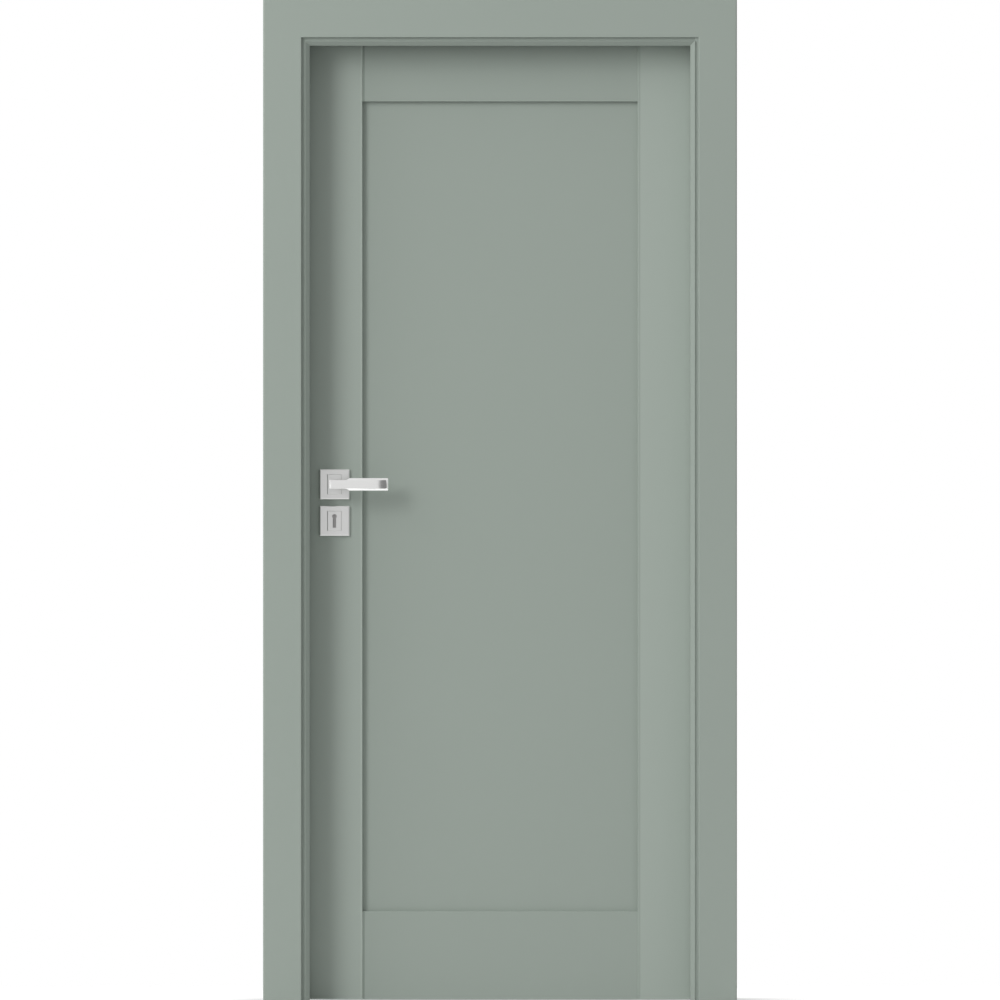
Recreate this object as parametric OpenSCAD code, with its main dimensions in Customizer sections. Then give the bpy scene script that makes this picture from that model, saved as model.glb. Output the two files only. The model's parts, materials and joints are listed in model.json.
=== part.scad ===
// Rebated interior door, single leaf, hung in a frame that wraps the wall.
// +X is to the right and +Y away from someone who stands on the push side; +Z is up.
// The origin is at floor level, midway across the frame and midway through the overall depth.
// Profiles of frame members are drawn in (u, y): u runs outward from the clear opening.

/* [Doorway] */
// Clear width between the jambs
clear_w = 802; // [650:1:1000]
// Clear height under the head jamb
clear_h = 2012; // [1900:1:2200]
// Thickness of the wall that the frame wraps
wall_t = 100; // [90:1:160]

/* [Frame] */
// Face width of the casing boards on the push side
casing_w = 81; // [70:1:110]
// Thickness of the casing boards on both sides
casing_t = 12; // [10:0.5:16]
// Rounding of the casing's outer edge
casing_r = 3; // [1:0.5:5]
// Rounding of the casing's inner edge
casing_inner_r = 2; // [0.5:0.5:4]
// Thickness of the jambs, from the clear opening to the wall
jamb_t = 42; // [40:1:60]
// Face width of the jamb strip that shows beside the casing
cheek_w = 10; // [9:0.5:12]
// Distance of that strip behind the casing's face
cheek_back = 5; // [2:0.5:8]
// Flat left on that strip beside the groove; the rest is chamfered towards the opening
cheek_land = 1; // [0.5:0.25:4]
// Width of the groove that shows between the strip and the casing
quirk_w = 7; // [5:0.5:9]
// Depth of that groove behind the casing's face
quirk_d = 10; // [4:0.5:12]
// Part of the casing's tongue that is carried by the board
tongue_seat = 5; // [4:0.5:7]
// Length of the tongue behind the push-side casing
tongue_len = 35; // [20:1:40]
// Room behind that tongue, for thinner walls
tongue_room = 8; // [4:1:12]
// Play of the tongues in their grooves
tongue_play = 0.2; // [0.1:0.05:0.3]
// Distance of the jamb's outer cheek behind the casing board
outer_cheek_back = 10; // [2:1:20]
// Thickness of the tongue on the pull-side casing
back_tongue_t = 7; // [5:0.5:7]
// Length of the tongue on the pull-side casing
back_tongue_len = 20; // [12:1:25]
// Wood between the rebate and the groove for that tongue
rebate_wall = 4; // [3:0.5:4.5]
// Diameter of the dowels across the jamb mitres
corner_dowel_d = 8; // [6:1:10]
// Length of the dowels across the jamb mitres
corner_dowel_len = 40; // [30:1:44]
// Distance between the two dowels of a mitre
corner_dowel_pitch = 18; // [14:1:22]

/* [Seal] */
// Gap between the stop and the leaf, which the seal fills
seal_gap = 3; // [2.8:0.1:3.5]
// Distance of the seal's middle from the clear opening
seal_u = 5; // [4:0.5:6]
// Radius of the seal's round lip
seal_r = 2.6; // [2:0.1:2.6]
// Thickness of the seal's stem
seal_stem_t = 2.8; // [2:0.1:3.2]
// Depth of the slot for the stem
seal_slot_d = 8; // [6:0.5:10]
// Play of the stem in its slot
seal_play = 0.1; // [0.05:0.05:0.2]

/* [Leaf] */
// Thickness of the leaf
leaf_t = 40; // [40:1:48]
// Width of the lip that covers the frame's rebate
lip_w = 13; // [12:0.5:16]
// Thickness of the lip
lip_t = 15; // [14:0.5:17]
// Gap between the lip and the casing
lip_gap = 2; // [1:0.5:4]
// Rounding of the lip's outer edge
lip_r = 3; // [1:0.5:5]
// Overlap of the leaf on the stop
stop_overlap = 8; // [7:0.5:10]
// Gap between the leaf's narrow edge and the frame's rebate
edge_gap = 4; // [3:0.5:5]
// Gap between the leaf and the floor
floor_gap = 3; // [3:1:15]
// Width of the stiles, lip included
stile_w = 132; // [126:1:150]
// Height of the top rail, lip included
top_rail_h = 138; // [120:1:160]
// Height of the bottom rail
bottom_rail_h = 185; // [160:1:240]
// Distance of the rails' faces behind the stiles' faces
rail_setback = 2.5; // [0.3:0.1:4]
// Rounding of the stiles' edges
arris_r = 3; // [0.5:0.5:4]
// Rounding of the rails' edges
rail_r = 1.5; // [0.5:0.5:3]
// Thickness of the panel
panel_t = 8; // [6:0.5:24]
// Depth of the groove that holds the panel
panel_groove_d = 12; // [10:1:14]
// Play of the panel and the rail tenons in that groove
panel_play = 0.1; // [0.05:0.05:0.2]
// Room for the panel to move in the bottom of the groove
panel_room = 1.5; // [0.5:0.5:3]
// Room in front of the rail tenons
tenon_room = 0.5; // [0.2:0.1:1]
// Diameter of the dowels between rails and stiles
dowel_d = 10; // [8:1:12]
// Length of the dowels between rails and stiles
dowel_len = 90; // [60:2:100]
// Distance between the dowels of a joint
dowel_pitch = 45; // [30:1:50]
// Dowels in each joint of the top rail
top_dowels = 2; // [1:1:2]
// Dowels in each joint of the bottom rail
bottom_dowels = 3; // [2:1:3]
// Play of the dowels in their holes
dowel_play = 0.05; // [0.02:0.01:0.1]

/* [Lock] */
// Height of the handle's spindle above the floor
handle_z = 1088; // [900:1:1200]
// Distance from the leaf's narrow edge to the spindle
backset = 60; // [55:1:65]
// Distance from the spindle down to the middle of the key plate
plate_pitch = 77; // [74:0.5:92]
// Length of the lock's faceplate
face_len = 235; // [225:1:260]
// Width of the faceplate
face_w = 20; // [18:0.5:21]
// Thickness of the faceplate
face_t = 3; // [2:0.5:4]
// Thickness of the lock case
case_t = 15; // [14:0.5:16]
// Wall of the lock case
case_wall = 1.5; // [1:0.1:2]
// Reach of the case behind the spindle
case_behind = 30; // [28:1:34]
// Reach of the case above the spindle
case_above = 55; // [40:1:60]
// Reach of the case below the middle of the key plate
case_below = 45; // [35:1:50]
// Play of the case in its mortise
mortise_play = 0.3; // [0.1:0.1:0.5]
// Play of the moving pieces in the lock
lock_play = 0.3; // [0.2:0.05:0.4]
// Radius of the follower's hub
hub_r = 11; // [10:0.5:11.5]
// Radius of the follower's journals
journal_r = 9; // [8:0.5:9.5]
// Running clearance of the journals
journal_play = 0.1; // [0.05:0.01:0.1]
// Length of the follower's arm, from the spindle axis
arm_r = 20; // [18:0.5:21]
// Width of the follower's arm
arm_w = 6; // [5:0.5:7]
// Distance between the arm and the latch's lug at rest
arm_gap = 1.2; // [1:0.1:1.5]
// Height of the latch's middle above the spindle
latch_rise = 17; // [16.5:0.5:20]
// Height of the latch's head
latch_h = 24; // [18:1:26]
// Thickness of the heads of latch and dead bolt
bolt_t = 11; // [8:0.5:11]
// Projection of the latch at rest
latch_out = 11.5; // [10:0.5:11.5]
// Flat nose of the latch
latch_nose = 2.5; // [1:0.5:4]
// Length of the latch's head
latch_len = 28; // [24:1:32]
// Height of the latch's tail
tail_h = 8; // [6:0.5:8]
// Thickness of the tails of latch and dead bolt
tail_t = 3.5; // [3:0.1:3.6]
// Length of the latch's lug along its travel
lug_len = 6; // [4:0.5:8]
// Height of the dead bolt's middle above the key's axis
dead_rise = 20.5; // [19:0.5:24]
// Height of the dead bolt
dead_h = 24; // [20:1:26]
// Length of the dead bolt's head
dead_len = 30; // [26:1:34]
// Travel of the dead bolt
dead_throw = 14; // [10:0.5:14]
// Distance of the retracted dead bolt behind the faceplate's face
dead_recess = 0.5; // [0.2:0.1:1]
// Width of the notch that the key's bit moves
talon_w = 9; // [7:0.5:10]
// Depth of that notch
talon_d = 6; // [4:0.5:7]
// Radius of the post that guides the dead bolt
post_r = 2.5; // [2:0.1:3]
// Radius of the faceplate and strike screws
screw_r = 2; // [1.5:0.1:2.2]
// Head radius of those screws
screw_head_r = 3.6; // [3:0.1:3.8]
// Length of those screws
screw_len = 25; // [16:1:28]
// Length of the cross recess in their heads
recess_len = 4; // [3:0.1:4.2]
// Width of the cross recess
recess_w = 1; // [0.8:0.1:1.4]
// Depth of the cross recess
recess_d = 1.2; // [0.8:0.1:1.4]

/* [Strike] */
// Height of the strike plate
strike_h = 170; // [150:1:200]
// Width of the strike plate along the rebate
strike_w = 24; // [23:0.5:25]
// Thickness of the strike plate
strike_t = 2; // [1.5:0.1:2.5]
// Width of the strike plate's fold on the casing
strike_fold = 8; // [5:0.5:10]
// Play of the bolts in the strike's openings
strike_play = 1.5; // [1:0.1:1.6]
// Depth of the pockets behind the strike
pocket_d = 14; // [13:0.5:16]

/* [Handle] */
// Width and height of the rose and of the key plate
rose_w = 63; // [56:1:64]
// Thickness of the rose and of the key plate
rose_t = 8; // [7:0.5:11]
// Width of the bevel round the rose
rose_bevel = 2; // [1:0.5:4]
// Depth of the bevel round the rose
rose_bevel_d = 1.5; // [0.5:0.5:3]
// Width of the raised pad on the rose
pad_w = 30; // [26:1:36]
// Height of the raised pad on the rose
pad_h = 42; // [38:1:46]
// Thickness of the raised pad
pad_t = 1.5; // [0.5:0.5:3]
// Bevel round the raised pad
pad_bevel = 1; // [0.5:0.25:1.5]
// Wall of the rose
shell_t = 1.5; // [1:0.1:2]
// Play between the rose and its base
shell_play = 0.2; // [0.1:0.05:0.3]
// Distance of the lever's face from the leaf's face
lever_reach = 58; // [50:1:70]
// Height of the lever
lever_h = 26; // [22:0.5:30]
// Height of the lever's flat face
lever_face_h = 17; // [12:0.5:20]
// Height of the lever's root beyond its neck, above and below
root_wall = 0.5; // [0.25:0.25:2]
// Distance from the spindle axis to where the lever starts to widen
root_len = 22; // [18:0.5:28]
// Radius of the hollow in which the lever widens
flare_r = 12; // [8:0.5:20]
// Thickness of the lever
lever_t = 9; // [7:0.5:12]
// Depth of the bevels along the lever
lever_bevel_d = 3; // [1:0.5:4]
// Length of the bevels on the lever's ends
lever_end_bevel = 4; // [1:0.5:5]
// Depth of those bevels
lever_end_bevel_d = 1.5; // [0.5:0.25:3]
// Chamfers along the lever's back
lever_back_bevel = 1.2; // [0.5:0.1:2]
// Length of the lever from the spindle axis to its tip
lever_len = 114; // [95:1:130]
// Length of the lever behind the spindle axis
lever_heel = 10.5; // [10:0.5:14]
// Radius of the lever's bent tip
tip_r = 75; // [50:1:120]
// Angle through which the tip is bent towards the leaf
tip_bend = 22; // [5:1:30]
// Radius of the lever's neck
neck_r = 8.5; // [8:0.25:10]
// Gap between the neck's end and the leaf
neck_lift = 1; // [0.5:0.25:2]
// Running clearance of the neck in the base of the rose
neck_play = 0.08; // [0.05:0.01:0.1]
// Clearance of the neck in the rose
rose_bore_play = 0.4; // [0.3:0.05:0.6]
// Width of the square spindle
spindle_w = 8; // [7:0.5:9]
// Reach of the spindle beyond the leaf's faces
spindle_reach = 34; // [28:1:40]
// Play of the spindle in its square holes
spindle_play = 0.1; // [0.05:0.01:0.15]
// Radius of the hole for the spindle through the stile
spindle_hole_r = 12; // [11:0.5:13]
// Radius of the grub screws
grub_r = 2.5; // [2:0.1:3]
// Distance of the grub screws from the leaf's faces
grub_off = 20; // [15:0.5:26]
// Radius of the hexagon socket in the grub screws, over its corners
socket_r = 1.4; // [1:0.1:1.6]
// Depth of that socket
socket_d = 2; // [1:0.1:2.5]
// Distance of the through bolts from the spindle axis, to either side
bolt_x = 19; // [18.5:0.5:21]
// Radius of the through bolts
bolt_r = 2; // [1.5:0.1:2.5]
// Head radius of the through bolts
bolt_head_r = 3.5; // [3:0.1:4]
// Head height of the through bolts
bolt_head_h = 2.2; // [1.5:0.1:3]
// Radius of the sleeves that take the through bolts
sleeve_r = 3.5; // [3:0.1:3.6]
// Length of the sleeves in the leaf
sleeve_len = 4; // [3:0.25:4.5]
// Play of the through bolts
bolt_play = 0.1; // [0.05:0.01:0.15]
// Radius of the bolt holes through the stile and the lock
bolt_hole_r = 4; // [3.8:0.1:4.5]
// Radius of the keyhole's round head
key_head_r = 4.75; // [4:0.25:5.5]
// Width of the keyhole's slot
key_slot_w = 6.5; // [5:0.25:7.5]
// Height of the keyhole
keyhole_h = 28.5; // [26:0.5:30]
// Room round the keyhole behind the key plate
key_room = 2; // [1:0.5:3]
// Thickness of the slit rubber guard that closes the view through the keyhole
guard_t = 2; // [1:0.25:3]
// Distance of the guard behind the front of the key plate's base
guard_in = 0.5; // [0.25:0.25:1.5]
// Width of the guard's slit
guard_slit = 0.4; // [0.2:0.1:1]

/* [Hinges] */
// Radius of the hinge knuckles
knuckle_r = 7; // [6.5:0.25:7]
// Length of a hinge knuckle
knuckle_len = 28; // [24:1:40]
// Rounding of the knuckles' ends
knuckle_cap_r = 2; // [0.5:0.25:2.5]
// Gap between the knuckles and the lip
knuckle_gap = 1; // [0.8:0.1:2]
// Radius of the hinge pins
pin_r = 4; // [3:0.25:4.25]
// Reach of a pin in each knuckle
pin_in = 22; // [16:0.5:23]
// Running clearance of the pins
pin_play = 0.05; // [0.02:0.01:0.08]
// Room at the ends of the pins
pin_room = 0.3; // [0.2:0.1:0.5]
// Thickness of the washers between the knuckles
washer_t = 1; // [0.8:0.1:2]
// Running gap above the washers
washer_gap = 0.1; // [0.05:0.01:0.15]
// Radius of the studs that screw into the wood
stud_r = 3.5; // [3:0.1:3.5]
// Length of the studs from the hinge's axis
stud_len = 50; // [40:1:60]
// Play of the studs in the wood
stud_play = 0.05; // [0.02:0.01:0.1]
// Height of the lowest hinge above the floor
hinge_foot = 250; // [180:1:300]
// Distance of the highest hinge below the head
hinge_head = 222; // [180:1:300]

/* [Hidden] */
$fn = 48;

paint = [0.60, 0.64, 0.60];
satin_chrome = [0.80, 0.80, 0.79];
zinc = [0.66, 0.67, 0.68];
raw_wood = [0.80, 0.66, 0.46];
seal_grey = [0.45, 0.47, 0.46];

// Overcut of tools that run out of a solid, and the angle of the mitres
over = 1;
mitre = 45;

// Stations through the depth, from the push side to the pull side
overall_d = casing_t + wall_t + casing_t + lip_gap + lip_t + lever_reach;
front_y = -overall_d / 2;
wall_front_y = front_y + casing_t;
wall_back_y = wall_front_y + wall_t;
back_y = wall_back_y + casing_t;
lip_back_y = back_y + lip_gap;
pull_y = lip_back_y + lip_t;
push_y = pull_y - leaf_t;
mid_y = (push_y + pull_y) / 2;
stop_y = push_y - seal_gap;
cheek_y = front_y + cheek_back;
quirk_y = front_y + quirk_d;

// Stations outward from the clear opening
rebate_w = stop_overlap + edge_gap;
cheek_bevel = cheek_w - cheek_land;
casing_u = cheek_w + quirk_w;
casing_out = casing_u + casing_w;
tongue_u = cheek_w + tongue_play;
tongue_out = casing_u + tongue_seat;
tongue_end_y = wall_front_y + tongue_len;
groove_end_y = tongue_end_y + tongue_room;
outer_cheek_y = wall_front_y + outer_cheek_back;
back_tongue_u = rebate_w + rebate_wall;
back_tongue_out = back_tongue_u + back_tongue_t;
back_tongue_y = wall_back_y - back_tongue_len;
frame_w = clear_w + 2 * casing_out;
frame_h = clear_h + casing_out;
reach = frame_w + frame_h;

// The leaf
leaf_w = clear_w + 2 * (stop_overlap + lip_w);
leaf_top = clear_h + stop_overlap + lip_w;
leaf_h = leaf_top - floor_gap;
rail_len = leaf_w - 2 * stile_w;
groove_t = panel_t + 2 * panel_play;
tenon_len = panel_groove_d - tenon_room;
top_rail_z = leaf_top - top_rail_h;
bottom_rail_z = floor_gap + bottom_rail_h;
top_joint_z = (top_rail_z + panel_groove_d + leaf_top - lip_w) / 2;
bottom_joint_z = (floor_gap + bottom_rail_z - panel_groove_d) / 2;

// The lock, whose middle plane is that of the leaf's narrow edge
edge_x = lip_w - leaf_w / 2;
spindle_x = edge_x + backset;
lock_y = push_y + (leaf_t - lip_t) / 2;
plate_z = handle_z - plate_pitch;
key_z = plate_z + keyhole_h / 2 - key_head_r;
case_x = edge_x + face_t;
case_d = backset + case_behind - face_t;
case_z = plate_z - case_below;
case_h = handle_z + case_above - case_z;
face_z = case_z + case_h / 2;
case_in = case_t - 2 * case_wall;
latch_z = handle_z + latch_rise;
dead_z = key_z + dead_rise;
tail_y = lock_y + case_in / 2 - lock_play - tail_t;
arm_y = tail_y - lock_play;
lug_x = spindle_x + arm_w / 2 + arm_gap;
post_x = edge_x + dead_len + dead_recess + 2 * post_r + lock_play;
post_z = dead_z + dead_h / 2 - 3 * post_r;
talon_x = spindle_x + dead_throw / 2;
face_screw_z = (face_len - case_h) / 4 + case_h / 2;
dead_end_x = spindle_x + case_behind - case_wall - 3 * lock_play;

// The strike, on the rebate of the lock jamb
rebate_x = -clear_w / 2 - rebate_w;
strike_z = (latch_z + dead_z) / 2;
strike_y = back_y - strike_w;
strike_screw_y = strike_y + screw_head_r + strike_play;
strike_screw_z = (strike_h + abs(latch_z - dead_z) + latch_h) / 4;
pocket_w = bolt_t + 2 * strike_play;

// The hinges
axis_x = leaf_w / 2 + knuckle_gap + knuckle_r;
axis_y = lip_back_y + lip_t / 2;
hinge_bottom_z = hinge_foot;
hinge_top_z = clear_h - hinge_head;
hinge_middle_z = (hinge_bottom_z + hinge_top_z) / 2;
hinge_heights = [hinge_bottom_z, hinge_middle_z, hinge_top_z];
leaf_knuckle_z = washer_t + washer_gap;
frame_stud_z = -knuckle_len / 2;
leaf_stud_z = leaf_knuckle_z + knuckle_len / 2;
stud_root = pin_r + pin_play + over;

// Handle pieces, drawn with the leaf's face at y = 0 and the viewer towards -Y
base_w = rose_w - 2 * shell_t - 2 * shell_play;
base_t = rose_t - shell_t - shell_play;
tip_start = lever_len - tip_r * sin(tip_bend);
root_h = 2 * (neck_r + root_wall);
bolt_len = leaf_t + base_t - bolt_head_h + sleeve_len / 2;

// Waste of a rounded edge: the corner is at the origin and the wood in the first quadrant
module edge_waste(r) {
    difference() {
        translate([-over, -over]) square(r + over);
        translate([r, r]) circle(r);
    }
}

module round_edge(corner, turn, r) {
    translate(corner) rotate(turn) edge_waste(r);
}

// Everything above a mitre that starts at the clear corner
module mitre_waste(corner) {
    translate([0, 0, corner]) rotate([0, -mitre, 0])
        translate([-reach, -reach, 0]) cube([2 * reach, 2 * reach, reach]);
}

module lock_side() {
    translate([-clear_w / 2, 0, 0]) mirror([1, 0, 0]) children();
}

module hinge_side() {
    translate([clear_w / 2, 0, 0]) children();
}

module upright() {
    difference() {
        linear_extrude(frame_h) children();
        mitre_waste(clear_h);
    }
}

module head_run() {
    translate([0, 0, clear_h]) rotate([0, -90, 0])
        difference() {
            linear_extrude(frame_w, center = true) children();
            mitre_waste(clear_w / 2);
            mirror([0, 0, 1]) mitre_waste(clear_w / 2);
        }
}

// Frame profiles
module jamb_profile() {
    difference() {
        translate([0, cheek_y]) square([jamb_t, wall_back_y - cheek_y]);
        translate([-over, stop_y]) square([rebate_w + over, wall_back_y - stop_y + over]);
        translate([cheek_w, cheek_y - over])
            square([tongue_out + tongue_play - cheek_w, groove_end_y - cheek_y + over]);
        translate([tongue_out, cheek_y - over])
            square([jamb_t - tongue_out + over, outer_cheek_y - cheek_y + over]);
        translate([back_tongue_u - tongue_play, back_tongue_y - tongue_play])
            square([back_tongue_t + 2 * tongue_play, back_tongue_len + tongue_play + over]);
        translate([seal_u - seal_stem_t / 2 - seal_play, stop_y - seal_slot_d])
            square([seal_stem_t + 2 * seal_play, seal_slot_d + over]);
        polygon([
            [-over, cheek_y - over], [cheek_bevel + over, cheek_y - over], [-over, cheek_y + cheek_bevel + over]
        ]);
        round_edge([0, stop_y], -90, rail_r);
    }
}

module front_casing_profile() {
    difference() {
        polygon([
            [casing_u, front_y], [casing_out, front_y], [casing_out, wall_front_y],
            [tongue_out, wall_front_y], [tongue_out, tongue_end_y], [tongue_u, tongue_end_y],
            [tongue_u, quirk_y], [casing_u, quirk_y]
        ]);
        round_edge([casing_u, front_y], 0, casing_inner_r);
        round_edge([casing_out, front_y], 90, casing_r);
    }
}

module back_casing_profile() {
    difference() {
        polygon([
            [rebate_w, back_y], [rebate_w, wall_back_y], [back_tongue_u, wall_back_y],
            [back_tongue_u, back_tongue_y], [back_tongue_out, back_tongue_y],
            [back_tongue_out, wall_back_y], [casing_out, wall_back_y], [casing_out, back_y]
        ]);
        round_edge([rebate_w, back_y], -90, strike_t / 2);
        round_edge([casing_out, back_y], 180, casing_r);
    }
}

module seal_profile() {
    translate([seal_u - seal_stem_t / 2, stop_y - seal_slot_d]) square([seal_stem_t, seal_slot_d]);
    intersection() {
        translate([seal_u, stop_y]) circle(seal_r);
        translate([seal_u - seal_r, stop_y]) square([2 * seal_r, seal_r]);
    }
}

// Dowels across one jamb mitre, drawn on the hinge side
module mitre_dowels(play) {
    dowel_y = (groove_end_y + stop_y - seal_slot_d) / 2;
    for (side = [-1, 1])
        translate([jamb_t / 2, dowel_y + side * corner_dowel_pitch / 2, clear_h + jamb_t / 2])
            rotate([0, -mitre, 0])
                cylinder(h = corner_dowel_len + 2 * play, d = corner_dowel_d + 2 * play, center = true);
}

module all_mitre_dowels(play) {
    lock_side() mitre_dowels(play);
    hinge_side() mitre_dowels(play);
}

// Countersunk screw along +Z, its head's face at the origin
module screw(play) {
    cylinder(h = screw_head_r - screw_r, r1 = screw_head_r + play, r2 = screw_r + play);
    cylinder(h = screw_len + play, r = screw_r + play);
}

// Cross recess in the head of such a screw
module screw_recess() {
    for (turn = [0, 90])
        rotate(turn) translate([-recess_len / 2, -recess_w / 2, -over])
            cube([recess_len, recess_w, recess_d + over]);
}

// Strike plate with its seat, screws and pockets
module strike_body() {
    translate([rebate_x - strike_t, strike_y, strike_z - strike_h / 2])
        cube([strike_t, strike_w, strike_h]);
    translate([rebate_x - strike_fold, back_y - strike_t, strike_z - strike_h / 2])
        cube([strike_fold, strike_t, strike_h]);
}

module strike_seat() {
    translate([rebate_x - strike_t, strike_y, strike_z - strike_h / 2])
        cube([strike_t + over, strike_w + over, strike_h]);
    translate([rebate_x - strike_fold, back_y - strike_t, strike_z - strike_h / 2])
        cube([strike_fold + over, strike_t + over, strike_h]);
}

module at_strike_screws() {
    for (side = [-1, 1])
        translate([rebate_x, strike_screw_y, strike_z + side * strike_screw_z])
            rotate([0, -90, 0]) children();
}

module strike_screw_set(play) {
    at_strike_screws() screw(play);
}

module bolt_pockets() {
    for (p = [[latch_z, latch_h], [dead_z, dead_h]])
        translate([rebate_x - pocket_d, lock_y - pocket_w / 2, p[0] - p[1] / 2 - strike_play])
            cube([pocket_d + over, pocket_w, p[1] + 2 * strike_play]);
}

// Hinge pieces, drawn round the hinge's axis with the joint at z = 0
module at_hinge(z) {
    translate([axis_x, axis_y, z]) children();
}

module knuckle() {
    rotate_extrude()
        difference() {
            square([knuckle_r, knuckle_len]);
            round_edge([knuckle_r, knuckle_len], 180, knuckle_cap_r);
        }
}

module frame_stud(play) {
    translate([0, -stud_root, frame_stud_z]) rotate([90, 0, 0])
        cylinder(h = stud_len - stud_root + play, r = stud_r + play);
}

module leaf_stud(play) {
    translate([-stud_root, 0, leaf_stud_z]) rotate([0, -90, 0])
        cylinder(h = stud_len - stud_root + play, r = stud_r + play);
}

module hinge_frame_part() {
    difference() {
        union() {
            mirror([0, 0, 1]) knuckle();
            frame_stud(0);
        }
        translate([0, 0, -pin_in - pin_room])
            cylinder(h = pin_in + pin_room + over, r = pin_r + pin_play);
    }
}

module hinge_leaf_part() {
    difference() {
        union() {
            translate([0, 0, leaf_knuckle_z]) knuckle();
            leaf_stud(0);
        }
        cylinder(h = pin_in + pin_room, r = pin_r + pin_play);
    }
}

module hinge_pin() {
    translate([0, 0, -pin_in - pin_room]) cylinder(h = 2 * pin_in + pin_room, r = pin_r);
}

module hinge_washer() {
    difference() {
        cylinder(h = washer_t, r = knuckle_r);
        translate([0, 0, -over]) cylinder(h = washer_t + 2 * over, r = pin_r + pin_play);
    }
}

// Leaf members: w is the member's width, measured from its outer edge to the panel
module bar_profile(w, inset, edge_r) {
    difference() {
        translate([0, push_y + inset]) square([w, leaf_t - 2 * inset]);
        translate([w - panel_groove_d, mid_y - groove_t / 2]) square([panel_groove_d + over, groove_t]);
        round_edge([w, push_y + inset], 90, edge_r);
        round_edge([w, pull_y - inset], 180, edge_r);
    }
}

module lipped_profile(w, inset, edge_r) {
    difference() {
        bar_profile(w, inset, edge_r);
        translate([-over, push_y - over]) square([lip_w + over, leaf_t - lip_t + over]);
        round_edge([0, pull_y - inset], -90, lip_r);
        round_edge([0, lip_back_y], 0, rail_r);
        round_edge([lip_w, push_y + inset], 0, edge_r);
    }
}

// Waste of the rebate across the leaf's top
module top_rebate_waste() {
    translate([-leaf_w / 2 - over, push_y - over, leaf_top - lip_w])
        cube([leaf_w + 2 * over, leaf_t - lip_t + over, lip_w + over]);
}

module joint_dowels(z, count, play) {
    for (side = [-1, 1], i = [0 : count - 1])
        translate([side * rail_len / 2, mid_y, z + (i - (count - 1) / 2) * dowel_pitch])
            rotate([0, 90, 0])
                cylinder(h = dowel_len + 2 * play, d = dowel_d + 2 * play, center = true);
}

module all_rail_dowels(play) {
    joint_dowels(top_joint_z, top_dowels, play);
    joint_dowels(bottom_joint_z, bottom_dowels, play);
}

module stile() {
    difference() {
        translate([-leaf_w / 2, 0, floor_gap])
            linear_extrude(leaf_h) lipped_profile(stile_w, 0, arris_r);
        top_rebate_waste();
    }
}

// Tenons that fill the stiles' grooves beside a rail
module tenons(low, high) {
    translate([-rail_len / 2 - tenon_len, mid_y - panel_t / 2, low])
        cube([rail_len + 2 * tenon_len, panel_t, high - low]);
}

// Keyhole with its round head at the key's axis, as a prism along Y
module keyhole(room, depth) {
    rotate([90, 0, 0]) linear_extrude(depth, center = true) {
        circle(key_head_r + room);
        translate([-key_slot_w / 2 - room, key_head_r - keyhole_h - room])
            square([key_slot_w + 2 * room, keyhole_h - key_head_r + room]);
    }
}

// Holes through stile and lock for the spindle, the key and the through bolts
module cross_hole(x, z, r) {
    translate([x, mid_y, z]) rotate([90, 0, 0]) cylinder(h = leaf_t + 2 * over, r = r, center = true);
}

module bolt_holes() {
    for (z = [handle_z, plate_z], side = [-1, 1]) cross_hole(spindle_x + side * bolt_x, z, bolt_hole_r);
}

module key_passage(room) {
    translate([spindle_x, mid_y, key_z]) keyhole(room, leaf_t + 2 * over);
}

module at_faceplate_screws() {
    for (side = [-1, 1])
        translate([edge_x, lock_y, face_z + side * face_screw_z]) rotate([0, 90, 0]) children();
}

module faceplate_screw_set(play) {
    at_faceplate_screws() screw(play);
}

module lock_mortise() {
    translate([edge_x - over, lock_y - face_w / 2, face_z - face_len / 2])
        cube([face_t + over, face_w, face_len]);
    translate([edge_x, lock_y - case_t / 2 - mortise_play, case_z - mortise_play])
        cube([face_t + case_d + mortise_play, case_t + 2 * mortise_play, case_h + 2 * mortise_play]);
    cross_hole(spindle_x, handle_z, spindle_hole_r);
    bolt_holes();
    key_passage(key_room);
    faceplate_screw_set(dowel_play);
}

module lock_holes() {
    cross_hole(spindle_x, handle_z, journal_r + journal_play);
    bolt_holes();
    key_passage(0);
}

// Plates with bevelled edges: the back is at y = 0 and the front towards -Y
function bevel_outline(w, t, b, d) = [
    [-w / 2, 0], [w / 2, 0], [w / 2, d - t], [w / 2 - b, -t], [b - w / 2, -t], [-w / 2, d - t]
];

module bevel_block(w, h, t, b, d) {
    intersection() {
        linear_extrude(h, center = true) polygon(bevel_outline(w, t, b, d));
        rotate([0, 90, 0]) linear_extrude(w, center = true) polygon(bevel_outline(h, t, b, d));
    }
}

module plate_shell() {
    inner = rose_w - 2 * shell_t;
    difference() {
        union() {
            bevel_block(rose_w, rose_w, rose_t, rose_bevel, rose_bevel_d);
            translate([0, shell_t - rose_t, 0])
                bevel_block(pad_w, pad_h, pad_t + shell_t, pad_bevel, pad_bevel);
        }
        translate([-inner / 2, shell_t - rose_t, -inner / 2]) cube([inner, rose_t - shell_t + over, inner]);
    }
}

module front_bore(r) {
    rotate([90, 0, 0]) cylinder(h = 2 * lever_reach, r = r, center = true);
}

module rose() {
    difference() {
        plate_shell();
        front_bore(neck_r + rose_bore_play);
    }
}

module key_plate() {
    difference() {
        plate_shell();
        translate([0, 0, key_z - plate_z]) keyhole(0, 2 * lever_reach);
    }
}

module base_block() {
    // The corners clear the rounding that the bevel leaves inside the shell
    bevel_block(base_w, base_w, base_t, rose_bevel, rose_bevel_d);
}

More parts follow.
